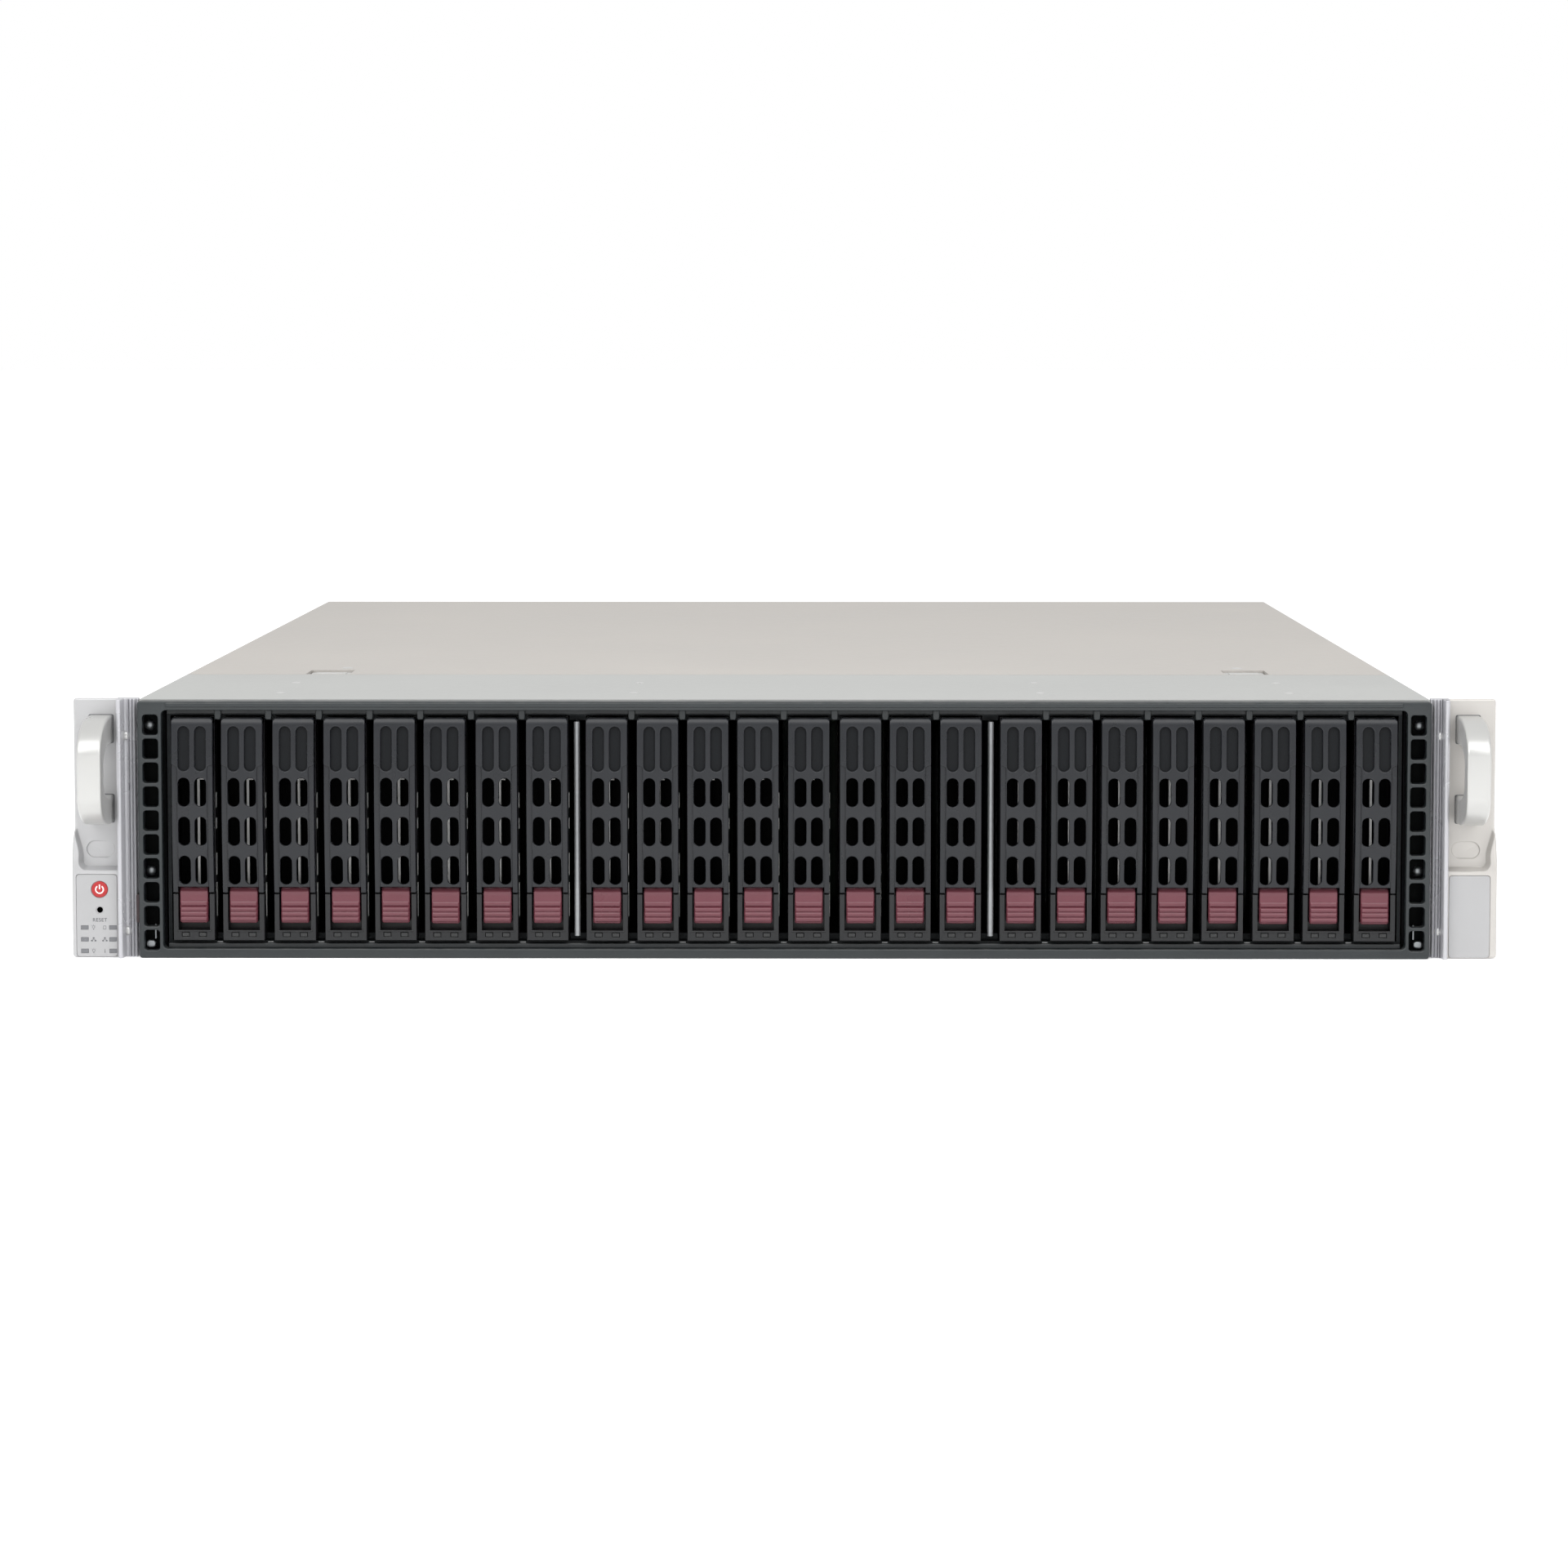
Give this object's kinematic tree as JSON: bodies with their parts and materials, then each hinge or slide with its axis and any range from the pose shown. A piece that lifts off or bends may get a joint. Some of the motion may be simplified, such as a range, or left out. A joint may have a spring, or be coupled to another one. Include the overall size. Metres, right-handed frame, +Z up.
{
  "type": "disk shelf enclosure",
  "caption": "Two-unit rack shelf for upright small drives in pull-out trays, with rack ears, bow handles, fans, sliding cover and rear power supplies.",
  "frame": {"origin": "on the underside, on the centre line, in the rack plane (rear faces of the rack ears)", "axes": "+X to the right seen from the front, +Y to the rear, +Z up"},
  "size_m": [0.4826, 0.6992, 0.088],
  "materials": {
    "galvanised_sheet": "satin galvanised sheet",
    "divider_steel": "satin",
    "tray_alloy": "satin dark grey front over a metal drive",
    "lever_grey": "satin",
    "button_burgundy": "satin",
    "frame_dark": "satin",
    "ear_paint": "light grey satin paint",
    "handle_silver": "satin",
    "board_green": "solder mask",
    "lamp_window": "translucent grey",
    "fan_black": "satin",
    "latch_plastic": "satin",
    "power_red": "gloss",
    "psu_shell": "satin plated"
  },
  "bodies": {
    "chassis": {"chassis_tub": "galvanised_sheet", "front_top_panel": "galvanised_sheet", "front_frame": "frame_dark", "drive_cage": "galvanised_sheet", "bank_dividers": "divider_steel", "backplane": "board_green", "left_ear": "ear_paint", "right_ear": "ear_paint", "left_handle": "handle_silver", "right_handle": "handle_silver", "indicator_lamps": "lamp_window", "fan_wall": "galvanised_sheet", "power_distributor": "galvanised_sheet", "expander_board": "board_green", "io_ports": "galvanised_sheet", "rear_panel": "galvanised_sheet"},
    "tray_01": {"drive_tray_01": "tray_alloy"},
    "tray_02": {"drive_tray_02": "tray_alloy"},
    "tray_03": {"drive_tray_03": "tray_alloy"},
    "tray_04": {"drive_tray_04": "tray_alloy"},
    "tray_05": {"drive_tray_05": "tray_alloy"},
    "tray_06": {"drive_tray_06": "tray_alloy"},
    "tray_07": {"drive_tray_07": "tray_alloy"},
    "tray_08": {"drive_tray_08": "tray_alloy"},
    "tray_09": {"drive_tray_09": "tray_alloy"},
    "tray_10": {"drive_tray_10": "tray_alloy"},
    "tray_11": {"drive_tray_11": "tray_alloy"},
    "tray_12": {"drive_tray_12": "tray_alloy"},
    "tray_13": {"drive_tray_13": "tray_alloy"},
    "tray_14": {"drive_tray_14": "tray_alloy"},
    "tray_15": {"drive_tray_15": "tray_alloy"},
    "tray_16": {"drive_tray_16": "tray_alloy"},
    "tray_17": {"drive_tray_17": "tray_alloy"},
    "tray_18": {"drive_tray_18": "tray_alloy"},
    "tray_19": {"drive_tray_19": "tray_alloy"},
    "tray_20": {"drive_tray_20": "tray_alloy"},
    "tray_21": {"drive_tray_21": "tray_alloy"},
    "tray_22": {"drive_tray_22": "tray_alloy"},
    "tray_23": {"drive_tray_23": "tray_alloy"},
    "tray_24": {"drive_tray_24": "tray_alloy"},
    "lever_01": {"release_lever_01": "lever_grey"},
    "button_01": {"release_button_01": "button_burgundy"},
    "lever_12": {"release_lever_12": "lever_grey"},
    "button_12": {"release_button_12": "button_burgundy"},
    "lever_24": {"release_lever_24": "lever_grey"},
    "button_24": {"release_button_24": "button_burgundy"},
    "cover": {"top_cover": "galvanised_sheet"},
    "cover_latch_left": {"cover_latch_left": "latch_plastic"},
    "cover_latch_right": {"cover_latch_right": "latch_plastic"},
    "power_key": {"power_button": "power_red"},
    "reset_key": {"reset_button": "fan_black"},
    "rotor_1": {"fan_rotor_1": "fan_black"},
    "rotor_2": {"fan_rotor_2": "fan_black"},
    "rotor_3": {"fan_rotor_3": "fan_black"},
    "supply_lower": {"power_supply_lower": "psu_shell", "psu_handle_lower": "latch_plastic"},
    "supply_latch_lower": {"psu_latch_lower": "button_burgundy"},
    "supply_upper": {"power_supply_upper": "psu_shell", "psu_handle_upper": "latch_plastic"},
    "supply_latch_upper": {"psu_latch_upper": "button_burgundy"}
  },
  "joints": [
    {"name": "tray_01_slide", "type": "slide", "parent": "chassis", "child": "tray_01", "axis": [0, -1, 0], "range_m": [0, 0.125]},
    {"name": "tray_02_slide", "type": "slide", "parent": "chassis", "child": "tray_02", "axis": [0, -1, 0], "range_m": [0, 0.125]},
    {"name": "tray_03_slide", "type": "slide", "parent": "chassis", "child": "tray_03", "axis": [0, -1, 0], "range_m": [0, 0.125]},
    {"name": "tray_04_slide", "type": "slide", "parent": "chassis", "child": "tray_04", "axis": [0, -1, 0], "range_m": [0, 0.125]},
    {"name": "tray_05_slide", "type": "slide", "parent": "chassis", "child": "tray_05", "axis": [0, -1, 0], "range_m": [0, 0.125]},
    {"name": "tray_06_slide", "type": "slide", "parent": "chassis", "child": "tray_06", "axis": [0, -1, 0], "range_m": [0, 0.125]},
    {"name": "tray_07_slide", "type": "slide", "parent": "chassis", "child": "tray_07", "axis": [0, -1, 0], "range_m": [0, 0.125]},
    {"name": "tray_08_slide", "type": "slide", "parent": "chassis", "child": "tray_08", "axis": [0, -1, 0], "range_m": [0, 0.125]},
    {"name": "tray_09_slide", "type": "slide", "parent": "chassis", "child": "tray_09", "axis": [0, -1, 0], "range_m": [0, 0.125]},
    {"name": "tray_10_slide", "type": "slide", "parent": "chassis", "child": "tray_10", "axis": [0, -1, 0], "range_m": [0, 0.125]},
    {"name": "tray_11_slide", "type": "slide", "parent": "chassis", "child": "tray_11", "axis": [0, -1, 0], "range_m": [0, 0.125]},
    {"name": "tray_12_slide", "type": "slide", "parent": "chassis", "child": "tray_12", "axis": [0, -1, 0], "range_m": [0, 0.125]},
    {"name": "tray_13_slide", "type": "slide", "parent": "chassis", "child": "tray_13", "axis": [0, -1, 0], "range_m": [0, 0.125]},
    {"name": "tray_14_slide", "type": "slide", "parent": "chassis", "child": "tray_14", "axis": [0, -1, 0], "range_m": [0, 0.125]},
    {"name": "tray_15_slide", "type": "slide", "parent": "chassis", "child": "tray_15", "axis": [0, -1, 0], "range_m": [0, 0.125]},
    {"name": "tray_16_slide", "type": "slide", "parent": "chassis", "child": "tray_16", "axis": [0, -1, 0], "range_m": [0, 0.125]},
    {"name": "tray_17_slide", "type": "slide", "parent": "chassis", "child": "tray_17", "axis": [0, -1, 0], "range_m": [0, 0.125]},
    {"name": "tray_18_slide", "type": "slide", "parent": "chassis", "child": "tray_18", "axis": [0, -1, 0], "range_m": [0, 0.125]},
    {"name": "tray_19_slide", "type": "slide", "parent": "chassis", "child": "tray_19", "axis": [0, -1, 0], "range_m": [0, 0.125]},
    {"name": "tray_20_slide", "type": "slide", "parent": "chassis", "child": "tray_20", "axis": [0, -1, 0], "range_m": [0, 0.125]},
    {"name": "tray_21_slide", "type": "slide", "parent": "chassis", "child": "tray_21", "axis": [0, -1, 0], "range_m": [0, 0.125]},
    {"name": "tray_22_slide", "type": "slide", "parent": "chassis", "child": "tray_22", "axis": [0, -1, 0], "range_m": [0, 0.125]},
    {"name": "tray_23_slide", "type": "slide", "parent": "chassis", "child": "tray_23", "axis": [0, -1, 0], "range_m": [0, 0.125]},
    {"name": "tray_24_slide", "type": "slide", "parent": "chassis", "child": "tray_24", "axis": [0, -1, 0], "range_m": [0, 0.125]},
    {"name": "lever_01_hinge", "type": "hinge", "parent": "tray_01", "child": "lever_01", "pos_m": [-0.20016, -0.0062, 0.0785], "axis": [-1, 0, 0], "range_deg": [0, 60]},
    {"name": "button_01_slide", "type": "slide", "parent": "tray_01", "child": "button_01", "axis": [0, 0, -1], "range_m": [0, 0.0023], "stiffness_N_per_m": 150},
    {"name": "lever_12_hinge", "type": "hinge", "parent": "tray_12", "child": "lever_12", "pos_m": [-0.00858, -0.0062, 0.0785], "axis": [-1, 0, 0], "range_deg": [0, 60]},
    {"name": "button_12_slide", "type": "slide", "parent": "tray_12", "child": "button_12", "axis": [0, 0, -1], "range_m": [0, 0.0023], "stiffness_N_per_m": 150},
    {"name": "lever_24_hinge", "type": "hinge", "parent": "tray_24", "child": "lever_24", "pos_m": [0.20016, -0.0062, 0.0785], "axis": [-1, 0, 0], "range_deg": [0, 60]},
    {"name": "button_24_slide", "type": "slide", "parent": "tray_24", "child": "button_24", "axis": [0, 0, -1], "range_m": [0, 0.0023], "stiffness_N_per_m": 150},
    {"name": "cover_slide", "type": "slide", "parent": "chassis", "child": "cover", "axis": [0, 1, 0], "range_m": [0, 0.012]},
    {"name": "cover_latch_left_press", "type": "slide", "parent": "cover", "child": "cover_latch_left", "axis": [0, 0, -1], "range_m": [0, 0.002], "stiffness_N_per_m": 400},
    {"name": "cover_latch_right_press", "type": "slide", "parent": "cover", "child": "cover_latch_right", "axis": [0, 0, -1], "range_m": [0, 0.002], "stiffness_N_per_m": 400},
    {"name": "power_press", "type": "slide", "parent": "chassis", "child": "power_key", "axis": [0, 1, 0], "range_m": [0, 0.001], "stiffness_N_per_m": 500},
    {"name": "reset_press", "type": "slide", "parent": "chassis", "child": "reset_key", "axis": [0, 1, 0], "range_m": [0, 0.001], "stiffness_N_per_m": 400},
    {"name": "fan_1_spin", "type": "hinge", "parent": "chassis", "child": "rotor_1", "pos_m": [-0.128, 0.20035, 0.0438], "axis": [0, 1, 0], "continuous": true},
    {"name": "fan_2_spin", "type": "hinge", "parent": "chassis", "child": "rotor_2", "pos_m": [0, 0.20035, 0.0438], "axis": [0, 1, 0], "continuous": true},
    {"name": "fan_3_spin", "type": "hinge", "parent": "chassis", "child": "rotor_3", "pos_m": [0.128, 0.20035, 0.0438], "axis": [0, 1, 0], "continuous": true},
    {"name": "supply_lower_slide", "type": "slide", "parent": "chassis", "child": "supply_lower", "axis": [0, 1, 0], "range_m": [0, 0.33]},
    {"name": "supply_latch_lower_press", "type": "slide", "parent": "supply_lower", "child": "supply_latch_lower", "axis": [1, 0, 0], "range_m": [0, 0.0015], "stiffness_N_per_m": 600},
    {"name": "supply_upper_slide", "type": "slide", "parent": "chassis", "child": "supply_upper", "axis": [0, 1, 0], "range_m": [0, 0.33]},
    {"name": "supply_latch_upper_press", "type": "slide", "parent": "supply_upper", "child": "supply_latch_upper", "axis": [1, 0, 0], "range_m": [0, 0.0015], "stiffness_N_per_m": 600}
  ]
}
